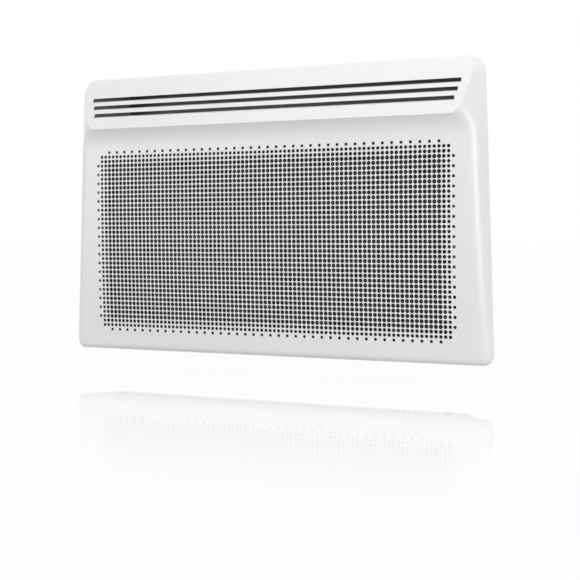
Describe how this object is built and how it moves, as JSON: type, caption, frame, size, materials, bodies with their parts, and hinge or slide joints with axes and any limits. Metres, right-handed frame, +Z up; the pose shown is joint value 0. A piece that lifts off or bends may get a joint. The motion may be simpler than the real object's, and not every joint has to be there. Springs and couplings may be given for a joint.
{
  "type": "wall panel convector heater",
  "caption": "Wall convector heater: perforated steel front with a sloping louvred visor, slotted rear case, infrared panel and finned element inside, hung on a wall rail.",
  "frame": {"origin": "on the wall plane, at the middle of the wall rail's four screw holes", "axes": "-Y out of the wall towards the room, +X to the right for someone who faces the heater, +Z up"},
  "size_m": [0.643, 0.1125, 0.4],
  "materials": {
    "white_enamel": "satin powder coat",
    "galvanised_steel": "zinc coated sheet",
    "zinc_screw": "zinc plated",
    "grey_plastic": "fine moulded grain",
    "white_plastic": "fine moulded grain",
    "black_plastic": "moulded",
    "dark_phenolic": "moulded",
    "dark_coating": "heat resistant black",
    "ceramic": "unglazed",
    "aluminium": "as extruded",
    "stainless_steel": "drawn",
    "smoked_window": "smoked",
    "circuit_board": "solder mask",
    "brass": "turned"
  },
  "bodies": {
    "wall_rail": {"wall_rail": "galvanised_steel"},
    "heater_body": {"front_panel": "white_enamel", "rear_case": "galvanised_steel", "case_screws": "zinc_screw", "foot_channel_left": "galvanised_steel", "foot_channel_right": "galvanised_steel", "rear_spacers": "grey_plastic", "infrared_panel": "dark_coating", "panel_insulators": "ceramic", "end_plate_right": "galvanised_steel", "end_plate_left": "galvanised_steel", "convection_element": "aluminium", "element_rod": "stainless_steel", "element_bush_left": "ceramic", "element_bush_right": "ceramic", "heat_shield": "galvanised_steel", "overheat_cutout": "dark_phenolic", "thermal_fuse": "stainless_steel", "control_housing": "white_plastic", "control_bezel": "white_plastic", "display_window": "smoked_window", "display_board": "circuit_board", "display_unit": "dark_phenolic", "key_switches": "dark_phenolic", "power_board": "circuit_board", "relay": "dark_phenolic", "tilt_switch": "dark_phenolic", "board_transformer": "dark_phenolic", "bezel_screws": "zinc_screw", "rocker_frame": "black_plastic", "sensor_clip": "white_plastic", "room_sensor": "stainless_steel", "terminal_block": "white_plastic", "cable_gland": "black_plastic", "earth_stud": "brass"},
    "rocker": {"rocker": "black_plastic"},
    "button_power": {"button_power": "grey_plastic"},
    "button_mode": {"button_mode": "grey_plastic"},
    "button_plus": {"button_plus": "grey_plastic"},
    "button_minus": {"button_minus": "grey_plastic"},
    "button_timer": {"button_timer": "grey_plastic"}
  },
  "joints": [
    {"name": "lift_off", "type": "slide", "parent": "wall_rail", "child": "heater_body", "axis": [0, 0, 1], "range_m": [0, 0.014]},
    {"name": "press_power", "type": "slide", "parent": "heater_body", "child": "button_power", "axis": [-1, 0, 0], "range_m": [0, 0.001], "stiffness_N_per_m": 1500, "springref_m": -0.0005},
    {"name": "press_mode", "type": "slide", "parent": "heater_body", "child": "button_mode", "axis": [-1, 0, 0], "range_m": [0, 0.001], "stiffness_N_per_m": 1500, "springref_m": -0.0005},
    {"name": "press_plus", "type": "slide", "parent": "heater_body", "child": "button_plus", "axis": [-1, 0, 0], "range_m": [0, 0.001], "stiffness_N_per_m": 1500, "springref_m": -0.0005},
    {"name": "press_minus", "type": "slide", "parent": "heater_body", "child": "button_minus", "axis": [-1, 0, 0], "range_m": [0, 0.001], "stiffness_N_per_m": 1500, "springref_m": -0.0005},
    {"name": "press_timer", "type": "slide", "parent": "heater_body", "child": "button_timer", "axis": [-1, 0, 0], "range_m": [0, 0.001], "stiffness_N_per_m": 1500, "springref_m": -0.0005},
    {"name": "rocker_tilt", "type": "hinge", "parent": "heater_body", "child": "rocker", "pos_m": [0.2935, -0.053, -0.15], "axis": [0, 1, 0], "range_deg": [0, 18]}
  ]
}
